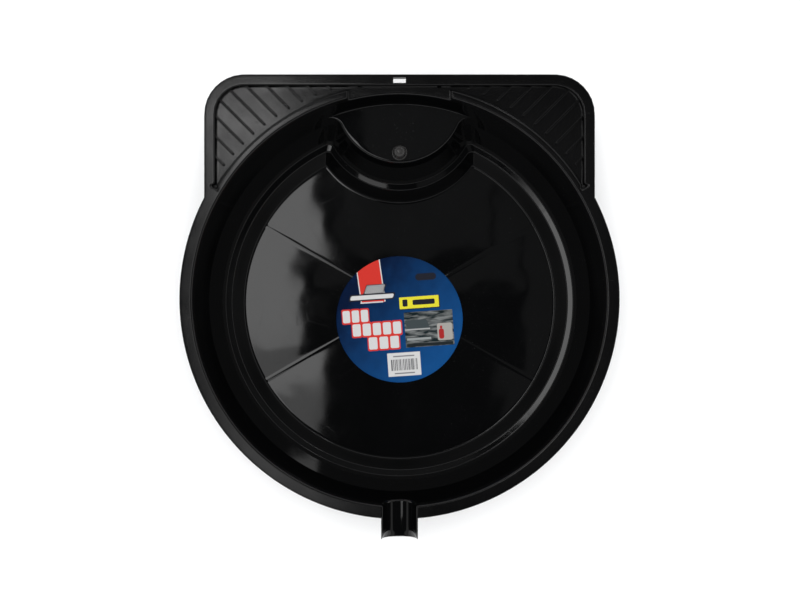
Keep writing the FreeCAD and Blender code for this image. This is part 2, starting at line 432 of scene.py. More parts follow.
def ledgeScales():  # how large the ledge's roundings are on each column, since it narrows to a point
    front = outline(0)
    scales = []
    for c, (point, into) in zip(columns, front):
        width = np.linalg.norm(polar(basin["radius"], c["angle"]) - point) if c["kind"] != "round" else 0
        scales.append(min(1, width / 0.010))
    return scales


scales = ledgeScales()
frontTurn = math.pi / 2 - math.atan2(0.003, 0.012)
frontRun = basin["edge"] * math.tan(frontTurn / 2)
footRun = basin["foot"] * math.tan(wallSlope / 2)


def frontEdge(k, a):  # inset and height on the ledge's rounded front edge; a is 0 on top
    size = scales[k] * basin["edge"]
    inset = -frontRun * scales[k] + size * math.sin(a)
    return inset, basin["ledgeLevel"] - size * (1 - math.cos(a))


def backFoot(k, a):  # radius and height on the hollow behind the ledge; a is 0 on the ledge
    size = scales[k] * basin["foot"]
    radius = basin["radius"] - footRun * scales[k] + size * math.sin(a)
    return radius, basin["ledgeLevel"] + size * (1 - math.cos(a))


def addWall():  # from the ledge's level down to the floor's edge
    profile = divided([p for p, t in roundedLine(basin["profile"], basin["bends"])], 0.009)
    atZero = outline(0)
    rows, shares = [], []
    for row, (inset, z) in enumerate(profile):
        points = []
        for k, (point, into) in enumerate(outline(inset)):
            if row == 0 and columns[k]["kind"] != "round":
                inset0, z0 = frontEdge(k, frontTurn)
                points.append((*(atZero[k][0] - atZero[k][1] * inset0), z0))
            else:
                points.append((*point, z))
        rows.append(points)
        shares.append([clamped((basin["stepLevel"] - z) / (basin["stepLevel"] - basin["heelLevel"]))])

    def name(r, c):
        z = (profile[r][1] + profile[r + 1][1]) / 2
        if z < basin["heelLevel"] + 0.0006:
            return "basin_floor"
        if c >= ledgeStart:
            return "filter_ledge"
        return "lower_wall" if z < 0.027 else "upper_wall"

    addPatch(rows, name, share=np.array(shares))
    return np.array(rows[-1])


def addFloor(edge):
    fractions = np.linspace(1, 0, basin["floorRows"] + 1)
    rows = [[(x * f, y * f, basin["heelLevel"]) for x, y, z in edge] for f in fractions]
    addPatch(rows, lambda r, c: "basin_floor", share=1.0)


def addLedge():
    atZero = outline(0)
    bands = list(range(cusp, len(columns)))
    rows = []
    for a in np.linspace(frontTurn, 0, 6):
        row = []
        for k in bands:
            inset, z = frontEdge(k, a)
            row.append((*(atZero[k][0] - atZero[k][1] * inset), z))
        rows.append(row)
    back = []
    for a in np.linspace(0, wallSlope, 6):
        row = []
        for k in bands:
            radius, z = backFoot(k, a)
            row.append((*polar(radius, columns[k]["angle"]), z))
        back.append(row)
    start, end = np.array(rows[-1]), np.array(back[0])
    rows += [start + (end - start) * f for f in np.linspace(0, 1, 9)[1:-1]] + back
    addPatch(rows, lambda r, c: "filter_ledge")


def bandName(c):  # what the upper edge belongs to between one column and the next
    if c < spoutEnd:
        return "pouring_spout"
    if c < shoulderStart:
        return "round_rim"
    return "inner_bead" if c < gapStart else "finger_gap"


def addUpperWall():
    rows = []
    for f in (0, 1 / 3, 2 / 3, 1):
        row = []
        for k, c in enumerate(columns):
            low = backFoot(k, wallSlope)[1] if c["kind"] != "round" else basin["ledgeLevel"]
            z = low + (min(wallTop, c["footZ"]) - low) * f
            row.append((*polar(wallRadius(z), c["angle"]), z))
        rows.append(row)
    rows.append([(*polar(wallRadius(c["footZ"]), c["angle"]), c["footZ"]) for c in columns])

    def name(r, c):
        if r == 3:
            return bandName(c)
        return "filter_ledge" if c >= ledgeStart else "upper_wall"

    addPatch(rows, name)


def lineDirection(angle):  # the plan direction in which a column crosses the deck
    if angle > 90:
        off = 180 - angle
        edge = 180 - columns[spoutEnd]["angle"]
        return polar(1, 180 - off * ramp(off, edge, deck["frontTurn"]))
    return polar(1, angle * ramp(angle, *deck["backTurn"]))


directions = [np.array((0, -1.0))] * (spoutEnd + 1)
directions += [lineDirection(c["angle"]) for c in columns[spoutEnd + 1 :]]


def lipRows():
    rows = []
    for a in np.linspace(wallSlope, 0, 6):
        run, drop = basin["lip"] * math.sin(a), basin["lip"] * (1 - math.cos(a))
        row = []
        for c, direction in zip(columns, directions):
            point = polar(wallRadius(c["footZ"]), c["angle"]) + direction * (lipRun - run)
            point[0] += c["into"][0] * (drop - lipDrop)
            row.append((*point, c["z"] + c["into"][1] * drop))
        rows.append(row)
    return rows


def reachCircle(point, direction, radius):
    along = float(np.dot(point, direction))
    return -along + math.sqrt(along**2 - float(np.dot(point, point)) + radius**2)


# distance to the square-shouldered outline, moved in by inset
def reachShoulder(point, direction, inset):
    half, back, corner = [deck[k] - inset for k in ("shoulderHalf", "shoulderBack", "shoulderCorner")]
    toSide = (half - point[0]) / max(direction[0], 1e-9)
    toBack = (back - point[1]) / max(direction[1], 1e-9)
    reach = min(toSide, toBack)
    hit = point + direction * reach
    centre = np.array((half - corner, back - corner))
    if hit[0] > centre[0] and hit[1] > centre[1]:
        reach = reachCircle(point - centre, direction, corner)
    return reach


drop = rimTop - trayLevel


def groove(edge):  # across the side of a raised edge: distance out from it, and height
    corners = [(-0.004, 0), (0, 0), (deck["draft"], -drop), (0.004, -drop)]
    return [p for p, t in roundedLine(corners, [edge, deck["hollow"]])[1:-1]]


beadSide, railSide = groove(deck["beadEdge"]), groove(deck["railEdge"])[::-1]
outerCorners = [(0.006, rimTop), (deck["skirtLean"], rimTop), (0, skirtEnd)]
outerEdge = [p for p, t in roundedLine(outerCorners, [deck["skirtEdge"]], 6)[1:]]
outerEdge = [np.array((deck["slotRows"][1], rimTop))] + list(divided(outerEdge, 0.004))


def deckLine(k, start):  # points of one column from the lip out to the skirt's lower edge
    column, direction, point = columns[k], directions[k], np.array(start[:2])
    rear = column["angle"] < 90
    inGap = column["kind"] == "ledge" and column["x"] < gapHigh.x + deck["gapSide"]

    def outer(inset):
        reach = reachCircle(point, direction, rimRadius - inset)
        return max(reach, reachShoulder(point, direction, inset)) if rear else reach

    toBead = reachCircle(point, direction, deck["beadRadius"])
    gap = reachShoulder(point, direction, deck["railWidth"]) - toBead if rear else -1
    size = depth = blend = 1
    if not inGap:
        size, depth = clamped(gap / deck["grooveFade"]), clamped(gap / deck["depthFade"])
        blend = ramp(gap, 0, deck["grooveFade"])
    total = len(beadSide) + deck["trayRows"] + len(railSide) + 2
    even = np.linspace(0, outer(deck["slotRows"][1]), total + 2)[1:-1]
    levels = [rimTop + h * depth for u, h in beadSide] + [rimTop - drop * depth] * deck["trayRows"]
    levels = [min(h, column["z"]) for h in levels]
    levels += [rimTop + h * depth for u, h in railSide] + [rimTop, rimTop]
    if blend > 0:
        left = [reachCircle(point, direction, deck["beadRadius"] + u * size) for u, h in beadSide]
        right = [reachShoulder(point, direction, deck["railWidth"] + u * size) for u, h in railSide]
        middle = list(np.linspace(left[-1], right[0], deck["trayRows"] + 2)[1:-1])
        inner = left + middle
        if inGap:
            share = ramp(column["x"], *deck["spacingFade"])
            spaced = np.linspace(0, right[0], len(inner) + 2)[1:-1]
            inner = [s + (i - s) * share for i, s in zip(inner, spaced)]
        slotSide = outer(deck["slotRows"][0])
        shaped = np.array(inner + right + [slotSide, (slotSide + outer(deck["slotRows"][1])) / 2])
        even = even + (shaped - even) * blend
    line = [(*(point + direction * t), z) for t, z in zip(even, levels)]
    return line + [(*(point + direction * outer(inset)), z) for inset, z in outerEdge]


def addDeck():
    lips = lipRows()
    lipSkins = np.full(len(columns), wall)
    lipSkins[spout["lipThinFrom"] : spoutEnd + 1] = deck["lipSkin"]
    addPatch(np.array(lips), lambda r, c: bandName(c), skin=lipSkins)
    rows = [deckLine(k, lips[-1][k]) for k in range(spoutEnd, len(columns))]
    rows = [[lips[-1][k + spoutEnd]] + row for k, row in enumerate(rows)]
    points = np.array(rows).transpose(1, 0, 2)
    leftFoot = len(beadSide)
    rightFoot = leftFoot + deck["trayRows"] + 1
    slotFirst = rightFoot + len(railSide)
    slotHalf = deck["slotHalf"] - 1e-6
    slotColumns = [k for k, c in enumerate(columns) if c["kind"] == "ledge" and c["x"] < slotHalf]

    def name(r, c):
        k = c + spoutEnd
        if k < shoulderStart:
            return "round_rim"
        if slotFirst <= r < slotFirst + 2 and (k + 1) in slotColumns:
            return None
        if r >= rightFoot:
            return "outer_rail"
        if k >= gapStart:
            return "finger_gap"
        return "inner_bead" if r < leftFoot else "right_tray"

    edgeRows, cornerRows = deck["edgeRows"], deck["cornerRows"]
    skins = [wall] + [deck["lipSkin"]] * edgeRows + [wall] * (rightFoot + 4 - edgeRows)
    skins += [deck["railSkin"]] * edgeRows + [wall] * 2 + [deck["cornerSkin"]] * cornerRows
    skins += [deck["skirtSkin"]] * (len(points) - len(skins))
    addPatch(points, name, skin=np.array(skins)[:, None])
    return lips


def addSpout(lips):
    used = range(spoutEnd + 1)
    rows, skins = [], []
    tip = spout["tip"]
    stops = [None, *spout["stops"], tip - spout["flareLength"]]
    stops += [tip - spout["flareLength"] * f for f in (0.75, 0.5, 0.25, 0.1, 0)]
    for stop in stops:
        row = []
        flare = 0
        if stop is not None:
            flare = spout["flare"] * ramp(stop, tip - spout["flareLength"], tip)
        for k in used:
            c = columns[k]
            y = lips[-1][k][1] if stop is None else -stop
            row.append((c["x"] + c["into"][0] * flare, y, c["z"] + c["into"][1] * flare))
        rows.append(row)
        thinFrom = spout["wallThinFrom"]
        skins.append([(deck["lipSkin"] if k >= thinFrom else wall) - flare for k in used])
    addPatch(rows, lambda r, c: "pouring_spout", skin=np.array(skins))


edge = addWall()
addFloor(edge)
addLedge()
addUpperWall()
addSpout(addDeck())
print("moulding's upper surface laid out")


def makeSheet():  # both halves joined into one open sheet
    points = np.array(sheet["points"])
    count = len(points)
    faces = list(sheet["faces"])
    faces += [tuple(count + v for v in reversed(f)) for f in faces]
    other = {regionNames.index("right_tray"): regionNames.index("left_tray")}
    regions = sheet["region"] + [other.get(r, r) for r in sheet["region"]]
    mesh = bpy.data.meshes.new("mouldingSheet")
    mesh.from_pydata(np.vstack((points, points * (-1, 1, 1))).tolist(), [], faces)
    for name in ("share", "skin"):
        mesh.attributes.new(name, "FLOAT", "POINT").data.foreach_set("value", sheet[name] * 2)
    mesh.attributes.new("region", "INT", "FACE").data.foreach_set("value", regions)
    work = bmesh.new()
    work.from_mesh(mesh)
    bmesh.ops.remove_doubles(work, verts=work.verts, dist=basin["weld"])
    bmesh.ops.dissolve_degenerate(work, edges=work.edges, dist=basin["sliver"])
    bmesh.ops.recalc_face_normals(work, faces=work.faces)
    lowest = min(work.faces, key=lambda f: f.calc_center_median().to_2d().length)
    if lowest.normal.z < 0:
        bmesh.ops.reverse_faces(work, faces=work.faces)
    work.to_mesh(mesh)
    work.free()
    return mesh


def startTree(name, sizes):  # a geometry tree with named inputs for its sizes
    tree = bpy.data.node_groups.new(name, "GeometryNodeTree")
    tree.is_modifier = True
    tree.interface.new_socket("Geometry", in_out="INPUT", socket_type="NodeSocketGeometry")
    tree.interface.new_socket("Geometry", in_out="OUTPUT", socket_type="NodeSocketGeometry")
    for label in sizes:
        tree.interface.new_socket(label, in_out="INPUT", socket_type="NodeSocketFloat")
    tree.interface.new_socket("Finish", in_out="INPUT", socket_type="NodeSocketMaterial")
    return tree, tree.nodes.new("NodeGroupInput").outputs


def endTree(tree, geometry, finish):
    whole = addNode(tree, "GeometryNodeRealizeInstances", {"Geometry": geometry})
    painted = addNode(tree, "GeometryNodeSetMaterial", {"Geometry": whole.outputs[0], "Material": finish})
    addNode(tree, "NodeGroupOutput", {0: painted.outputs[0]})


def runTree(mesh, tree, values):  # the tree's result on a mesh, as a plain mesh
    holder = bpy.data.objects.new(mesh.name + "Holder", mesh)
    bpy.context.collection.objects.link(holder)
    modifier = holder.modifiers.new("shape", "NODES")
    modifier.node_group = tree
    for item in tree.interface.items_tree:
        if item.in_out == "INPUT" and item.name in values:
            modifier[item.identifier] = values[item.name]
    bpy.context.view_layer.update()
    result = bpy.data.meshes.new_from_object(holder.evaluated_get(bpy.context.evaluated_depsgraph_get()))
    holder.modifiers.remove(modifier)
    bpy.data.objects.remove(holder)
    return result


def namedFloat(tree, name):  # the value that each point of the mesh carries
    node = addNode(tree, "GeometryNodeInputNamedAttribute", {"Name": name}, data_type="FLOAT")
    return node.outputs["Attribute"]


floorPress = {
    "Facets": 6.0,
    "Middle": floorMiddle,
    "Heel": basin["heelLevel"],
    "Fall": 0.033,
    "Dish": 0.010,  # how much each facet's fall grows from the middle to the wall
    "Reach": 0.154,
    "Bead": 0.00016,  # height of the fold along each crease that runs to a side
    "Bead Width": 0.0011,
    "Warp": 0.00060,
    "Warp Size": 0.055,
    "Seed": 7.0,
}


def pressTree():  # presses the facets and the moulding's faint warp into whatever carries a share
    tree, given = startTree("pressFacets", floorPress)

    def do(*values, **settings):
        return calc(tree, *values, **settings)

    place = addNode(tree, "GeometryNodeInputPosition").outputs[0]
    x, y, z = addNode(tree, "ShaderNodeSeparateXYZ", {0: place}).outputs
    radius = do("SQRT", do("ADD", do("MULTIPLY", x, x), do("MULTIPLY", y, y)))
    sector = do("DIVIDE", 2 * math.pi, given["Facets"])
    bearing = do("FLOORED_MODULO", do("ARCTAN2", x, y), sector)
    off = do("SUBTRACT", bearing, do("MULTIPLY", sector, 0.5))
    along = do("MULTIPLY", radius, do("COSINE", off))
    toEdge = do("SUBTRACT", do("MULTIPLY", sector, 0.5), do("ABSOLUTE", off))
    toCrease = do("MULTIPLY", radius, do("SINE", toEdge))
    plain = do("MULTIPLY", along, given["Fall"])
    dished = do("DIVIDE", do("MULTIPLY", along, along), given["Reach"])
    bend = do("MULTIPLY", given["Dish"], do("SUBTRACT", dished, along))
    ratio = do("DIVIDE", toCrease, given["Bead Width"])
    hump = do("EXPONENT", do("MULTIPLY", do("MULTIPLY", ratio, ratio), -1.0))
    fold = do("MULTIPLY", given["Bead"], hump)
    fold = do("MULTIPLY", fold, spread(tree, radius, 0.01, 0.04))
    sideways = do("DIVIDE", do("ABSOLUTE", x), do("MAXIMUM", radius, 0.001))
    fold = do("MULTIPLY", fold, spread(tree, sideways, 0.2, 0.8, 0.3, 1.0))
    turn = do("FLOORED_MODULO", do("ARCTAN2", x, y), 2 * math.pi)
    facet = do("FLOOR", do("DIVIDE", turn, sector))
    noise = addNode(
        tree,
        "ShaderNodeTexNoise",
        {
            "Vector": addNode(tree, "ShaderNodeCombineXYZ", {0: x, 1: y}).outputs[0],
            "W": do("ADD", given["Seed"], do("MULTIPLY", facet, 3.7)),
            "Scale": do("DIVIDE", 1.0, given["Warp Size"]),
            "Detail": 1.0,
            "Roughness": 0.35,
        },
        noise_dimensions="4D",
    ).outputs["Fac"]
    fromCrease = spread(tree, toCrease, 0.0, 0.03, smooth=True)
    fromWall = spread(tree, radius, 0.152, 0.135, smooth=True)
    warp = do("MULTIPLY", do("SUBTRACT", noise, 0.5), given["Warp"])
    warp = do("MULTIPLY", warp, do("MULTIPLY", fromCrease, fromWall))
    height = do("SUBTRACT", given["Middle"], given["Heel"])
    for part in (plain, bend, fold, warp):
        height = do("ADD", height, part)
    share = namedFloat(tree, "share")
    lift = addNode(tree, "ShaderNodeCombineXYZ", {2: do("MULTIPLY", share, height)}).outputs[0]
    moved = addNode(tree, "GeometryNodeSetPosition", {"Geometry": given["Geometry"], "Offset": lift})
    endTree(tree, moved.outputs[0], given["Finish"])
    return tree


def facetHeight(x, y):  # the floor's height in the middle of its facets' planes
    sector = 2 * math.pi / floorPress["Facets"]
    off = math.atan2(x, y) % sector - sector / 2
    return floorMiddle + floorPress["Fall"] * math.hypot(x, y) * math.cos(off)


# a noise whose grains are about this large, in metres
def noiseOf(tree, place, size, detail=2.0, roughness=0.5):
    inputs = {"Vector": place, "Scale": 1 / size, "Detail": detail, "Roughness": roughness}
    return addNode(tree, "ShaderNodeTexNoise", inputs).outputs["Fac"]


def bumps(tree, layers):  # stacks of (height field, depth in metres, strength)
    normal = None
    for height, depth, strength in layers:
        inputs = {"Height": height, "Distance": depth, "Strength": strength}
        if normal is not None:
            inputs["Normal"] = normal
        normal = addNode(tree, "ShaderNodeBump", inputs).outputs[0]
    return normal


def blendColours(tree, share, first, second):
    node = addNode(tree, "ShaderNodeMix", data_type="RGBA")
    for socket, value in ((node.inputs[0], share), (node.inputs[6], first), (node.inputs[7], second)):
        if isinstance(value, bpy.types.NodeSocket):
            tree.links.new(value, socket)
        else:
            socket.default_value = value
    return node.outputs[2]


def startMaterial(name):
    material = bpy.data.materials.new(name)
    material.use_nodes = True
    tree = material.node_tree
    place = addNode(tree, "ShaderNodeTexCoord").outputs["Object"]
    return material, tree, tree.nodes["Principled BSDF"], place


glossFinish = {
    "dark": (0.0009, 0.0010, 0.0011, 1),
    "light": (0.0019, 0.0020, 0.0022, 1),
    "cloudSize": 0.045,  # of the patches between dark and light
    "dust": (0.012, 0.012, 0.013, 1),
    "dustSize": 0.0011,
    "dustPatch": 0.05,
    "dustDulls": 0.3,
    "roughness": (0.035, 0.075),
    "hairlines": 26.0,  # scratches to a metre
    "hairlineDulls": 0.05,
    "rippleSize": 0.026,
    "rippleDepth": 0.00002,
    "grainSize": 0.0007,
    "grainDepth": 0.0000012,
}
plasticIndex = 1.49


def glossPlastic():  # polished black polypropylene, with faint flow marks, hairlines and dust
    material, tree, shader, place = startMaterial("glossPlastic")
    finish = glossFinish
    cloud = noiseOf(tree, place, finish["cloudSize"], 3)
    colour = blendColours(tree, cloud, finish["dark"], finish["light"])
    speck = spread(tree, noiseOf(tree, place, finish["dustSize"], 1), 0.735, 0.78)
    patch = spread(tree, noiseOf(tree, place, finish["dustPatch"], 2), 0.45, 0.65)
    dust = calc(tree, "MULTIPLY", speck, patch)
    colour = blendColours(tree, dust, colour, finish["dust"])
    tree.links.new(colour, shader.inputs["Base Color"])
    rough = spread(tree, noiseOf(tree, place, 0.03, 4), 0.35, 0.7, *finish["roughness"])
    cells = {"Vector": place, "Scale": finish["hairlines"], "Randomness": 1.0}
    hair = addNode(tree, "ShaderNodeTexVoronoi", cells, feature="DISTANCE_TO_EDGE").outputs["Distance"]
    broken = spread(tree, noiseOf(tree, place, 0.02), 0.5, 0.6)
    hairline = calc(tree, "MULTIPLY", spread(tree, hair, 0.012, 0.0), broken)
    for mark, dulls in ((hairline, finish["hairlineDulls"]), (dust, finish["dustDulls"])):
        rough = calc(tree, "ADD", rough, calc(tree, "MULTIPLY", mark, dulls))
    tree.links.new(rough, shader.inputs["Roughness"])
    ripple = noiseOf(tree, place, finish["rippleSize"], 1)
    grain = noiseOf(tree, place, finish["grainSize"], 2)
    normal = bumps(tree, [(ripple, finish["rippleDepth"], 1.0), (grain, finish["grainDepth"], 1.0)])
    tree.links.new(normal, shader.inputs["Normal"])
    shader.inputs["IOR"].default_value = plasticIndex
    return material


satinFinish = {
    "dark": (0.0012, 0.0012, 0.0013, 1),
    "light": (0.0026, 0.0026, 0.0028, 1),
    "scuff": (0.0060, 0.0060, 0.0062, 1),
    "roughness": (0.13, 0.19),
    "grainSize": 0.0005,
}
# the peg's finish: grain and scuffs in a far lighter grey than the rest of the moulding, a painted sheen
# standing in for the highlights on its dome
pegSheenFinish = {
    "dark": (0.008, 0.008, 0.009, 1),
    "light": (0.034, 0.033, 0.032, 1),
    "scuff": (0.110, 0.108, 0.105, 1),
    "roughness": (0.16, 0.24),
    "grainSize": 0.0004,
}


# the same plastic off a spark-eroded mould: fine grain, a few scuffs
def grainedPlastic(name, finish):
    material, tree, shader, place = startMaterial(name)
    cloud = noiseOf(tree, place, 0.03, 4)
    colour = blendColours(tree, cloud, finish["dark"], finish["light"])
    turned = {"Vector": place, "Rotation": (0, 0, 0.6), "Scale": (1, 9, 1)}
    stretched = addNode(tree, "ShaderNodeMapping", turned).outputs[0]
    scuff = spread(tree, noiseOf(tree, stretched, 0.016, 4, 0.6), 0.66, 0.74)
    colour = blendColours(tree, scuff, colour, finish["scuff"])
    tree.links.new(colour, shader.inputs["Base Color"])
    rough = spread(tree, noiseOf(tree, place, 0.02, 3), 0.3, 0.7, *finish["roughness"])
    rough = calc(tree, "ADD", rough, calc(tree, "MULTIPLY", scuff, 0.12))
    tree.links.new(rough, shader.inputs["Roughness"])
    grain = noiseOf(tree, place, finish["grainSize"], 3, 0.6)
    wave = noiseOf(tree, place, 0.02, 1)
    normal = bumps(tree, [(wave, 0.00006, 1.0), (grain, 0.00002, 1.0)])
    tree.links.new(normal, shader.inputs["Normal"])
    shader.inputs["IOR"].default_value = plasticIndex
    return material


print("pressing the moulding")
glossy = glossPlastic()
satin = grainedPlastic("satinPlastic", satinFinish)
press = pressTree()
moulding = runTree(makeSheet(), press, {**floorPress, "Finish": glossy})


def readFloats(items, name, width=1):
    values = np.empty(len(items) * width)
    items.foreach_get(name, values)
    return values.reshape(-1, width) if width > 1 else values


def finishPiece(name, mesh, material, slotName, *nodes):
    piece = bpy.data.objects.new(name, mesh)
    bpy.context.collection.objects.link(piece)
    mesh.materials.clear()
    mesh.materials.append(material)
    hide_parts(*nodes)
    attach(piece, "root")
    return piece


shinyParts = ("basin_floor", "lower_wall", "upper_wall", "filter_ledge", "pouring_spout")


# gives each named part of the sheet its wall, with shading that runs on across the joins
def splitMoulding():
    places = readFloats(moulding.vertices, "co", 3)
    skins = readFloats(moulding.attributes["skin"].data, "value")
    regions = readFloats(moulding.attributes["region"].data, "value").astype(int)
    areas = readFloats(moulding.polygons, "normal", 3) * readFloats(moulding.polygons, "area")[:, None]
    faces = [tuple(p.vertices) for p in moulding.polygons]
    normals = np.zeros_like(places)
    for face, area in zip(faces, areas):
        for v in face:
            normals[v] += area
    normals /= np.maximum(np.linalg.norm(normals, axis=1), 1e-20)[:, None]
    under = places - normals * skins[:, None]
    for number, name in enumerate(regionNames):
        mine = [f for f, r in zip(faces, regions) if r == number]
        edges = {(f[k - 1], f[k]) for f in mine for k in range(len(f))}
        rim = sorted(e for e in edges if (e[1], e[0]) not in edges)
        used = sorted({v for f in mine for v in f})
        index = {v: k for k, v in enumerate(used)}
        count = len(used)
        solid = [tuple(index[v] for v in f) for f in mine]
        shading = [normals[v] for f in mine for v in f]
        solid += [tuple(index[v] + count for v in reversed(f)) for f in mine]
        shading += [-normals[v] for f in mine for v in reversed(f)]
        for a, b in rim:
            solid.append((index[b], index[a], index[a] + count, index[b] + count))
            along, down = places[a] - places[b], under[a] - places[a]
            side = np.cross(along, down)
            shading += [side / max(np.linalg.norm(side), 1e-20)] * 4
        mesh = bpy.data.meshes.new(name + "_piece")
        mesh.from_pydata(np.vstack((places[used], under[used])).tolist(), [], solid)
        mesh.polygons.foreach_set("use_smooth", [True] * len(solid))
        mesh.normals_split_custom_set([tuple(n) for n in shading])
        look = (glossy, "basin_gloss") if name in shinyParts else (satin, "edge_satin")
        finishPiece(name + "_piece", mesh, *look, name)
        print(f"{name}: {len(solid)} faces")


splitMoulding()

ribs = {
    "first": -0.0378,  # x + y of the first rib of the left tray
    "pitch": 0.0185,
    "count": 10,
    "startRadius": 0.2016,
    "nose": [-0.0012, -0.00115, -0.0010, -0.0007, -0.0003, 0.0002, 0.0008],
    "sizes": {
        "Width": 0.0024,
        "Height": ribHigh.z - ribLow.z,
        "Root": 0.0012,
        "Rounding": 0.0008,
    },
}


def ribTree():  # sweeps a rounded bar along each line, small at its nose
    tree, given = startTree("sweepRibs", ribs["sizes"])
    tall = calc(tree, "ADD", given["Height"], given["Root"])
    size = {"Width": given["Width"], "Height": tall}
    block = addNode(tree, "GeometryNodeCurvePrimitiveQuadrilateral", size)
    rounding = {"Curve": block.outputs[0], "Count": 4, "Radius": given["Rounding"]}
    section = addNode(tree, "GeometryNodeFilletCurve", rounding, mode="POLY")
    lines = addNode(tree, "GeometryNodeMeshToCurve", {"Mesh": given["Geometry"]})
    swept = {"Curve": lines.outputs[0], "Profile Curve": section.outputs[0], "Fill Caps": True}
    bars = addNode(tree, "GeometryNodeCurveToMesh", {**swept, "Scale": namedFloat(tree, "swell")})
    centre = calc(tree, "MULTIPLY", calc(tree, "SUBTRACT", given["Height"], given["Root"]), 0.5)
    lift = addNode(tree, "ShaderNodeCombineXYZ", {2: centre}).outputs[0]
    raised = addNode(tree, "GeometryNodeSetPosition", {"Geometry": bars.outputs[0], "Offset": lift})
    endTree(tree, raised.outputs[0], given["Finish"])
    return tree


def ribLines(side):  # side is 1 on the right and -1 on the left
    points, edges, swell = [], [], []
    nose = ribs["sizes"]["Width"] / 2
    for k in range(ribs["count"]):
        level = ribs["first"] + ribs["pitch"] * k
        fall = math.sqrt(2 * ribs["startRadius"] ** 2 - level**2)
        start = np.array(((fall - level) / 2, (level + fall) / 2))
        direction = unit(np.array((1.0, 1.0)))
        length = reachShoulder(start, direction, deck["railWidth"] - 0.0006)
        stops = [s for s in ribs["nose"] if s < length - 0.001]
        stops += list(np.linspace(0.0014, length, 8)) if length > 0.003 else [length]
        first = len(points)
        for s in stops:
            spot = start + direction * s
            points.append((side * spot[0], spot[1], trayLevel))
            inward = clamped((s + nose) / nose)
            swell.append(max(math.sqrt(1 - (1 - inward) ** 2), 0.08))
        edges += [(first + n, first + n + 1) for n in range(len(stops) - 1)]
    mesh = bpy.data.meshes.new("ribLines")
    mesh.from_pydata(points, edges, [])
    mesh.attributes.new("swell", "FLOAT", "POINT").data.foreach_set("value", swell)
    return mesh


def shadeByAngle(mesh, degrees=35):  # smooth, with sharp edges kept
    work = bmesh.new()
    work.from_mesh(mesh)
    bmesh.ops.remove_doubles(work, verts=work.verts, dist=0.000002)
    bmesh.ops.recalc_face_normals(work, faces=work.faces)
    for face in work.faces:
        face.smooth = True
    for e in work.edges:
        e.smooth = len(e.link_faces) == 2 and e.calc_face_angle(0) < math.radians(degrees)
    work.to_mesh(mesh)
    work.free()
    return mesh


sweep = ribTree()
for side, name in ((1, "right_tray_ribs"), (-1, "left_tray_ribs")):
    bars = shadeByAngle(runTree(ribLines(side), sweep, {**ribs["sizes"], "Finish": satin}))
    finishPiece(name + "_piece", bars, satin, "edge_satin", name)
print("ribs swept")

peg = {
    "y": (pegLow.y + pegHigh.y) / 2,
    "radius": 0.006,
    "dome": 0.005,
    "hollow": 0.0008,  # rounding at its foot
    "apron": 0.0004,
    "lift": 0.00002,  # how far the edge of its foot stands above the ledge
    "steps": 48,
}


# faces between two rings of points, each given by the number of its first point
def ringFaces(first, second, count):
    pairs = [(k, (k + 1) % count) for k in range(count)]
    return [(first + a, first + b, second + b, second + a) for a, b in pairs]


def makePeg():  # a domed stub with a hollow round its foot
    level, top = basin["ledgeLevel"], pegHigh.z
    edge, side = pegHigh.x, peg["radius"]
    corners = [(0.0, top), (side, top), (side, level), (edge + peg["apron"], level)]
    profile = [p for p, t in roundedLine(corners, [peg["dome"], peg["hollow"]], 10)]
    profile = [p for p in profile if p[0] < edge]
    profile += [np.array((edge, level + peg["lift"])), np.array((edge, pegLow.z))]
    points = [(0, peg["y"], top)]
    for radius, z in profile[1:]:
        for k in range(peg["steps"]):
            angle = 2 * math.pi * k / peg["steps"]
            points.append((radius * math.cos(angle), peg["y"] + radius * math.sin(angle), z))
    n = peg["steps"]
    faces = [(0, 1 + k, 1 + (k + 1) % n) for k in range(n)]
    for r in range(len(profile) - 2):
        faces += ringFaces(1 + (r + 1) * n, 1 + r * n, n)
    last = 1 + (len(profile) - 2) * n
    faces.append(tuple(range(last + n - 1, last - 1, -1)))
    mesh = bpy.data.meshes.new("filter_peg_piece")
    mesh.from_pydata(points, [], faces)
    return shadeByAngle(mesh, 50)


# the peg gets the lighter grey finish, a painted sheen in place of its dome's highlights
pegSheenMaterial = grainedPlastic("pegSheenPlastic", pegSheenFinish)
finishPiece("filter_peg_piece", makePeg(), pegSheenMaterial, "basin_gloss", "filter_peg")

foot = {"inset": 0.0282, "width": 0.0035, "rounding": 0.0010}


def makeFootRing():
    inner = foot["inset"] + foot["width"]
    high = footHigh.z
    corners = [(foot["inset"], high), (foot["inset"], footLow.z), (inner, footLow.z), (inner, high)]
    profile = [p for p, t in roundedLine(corners, [foot["rounding"]] * 2, 5)]
    points, faces = [], []
    for row, (inset, z) in enumerate(profile):
        half = [p for p, into in outline(inset)]
        ring = half + [p * (-1, 1) for p in half[-2:0:-1]]
        ends = row in (0, len(profile) - 1)
        points += [(*p, facetHeight(*p) - wall / 2 if ends else z) for p in ring]
    n, rows = len(ring), len(profile)
    for r in range(rows):
        faces += ringFaces(r * n, (r + 1) % rows * n, n)
    mesh = bpy.data.meshes.new("foot_ring_piece")
    mesh.from_pydata(points, [], faces)
    return shadeByAngle(mesh, 50)


finishPiece("foot_ring_piece", makeFootRing(), glossy, "basin_gloss", "foot_ring")
print("peg and foot made")

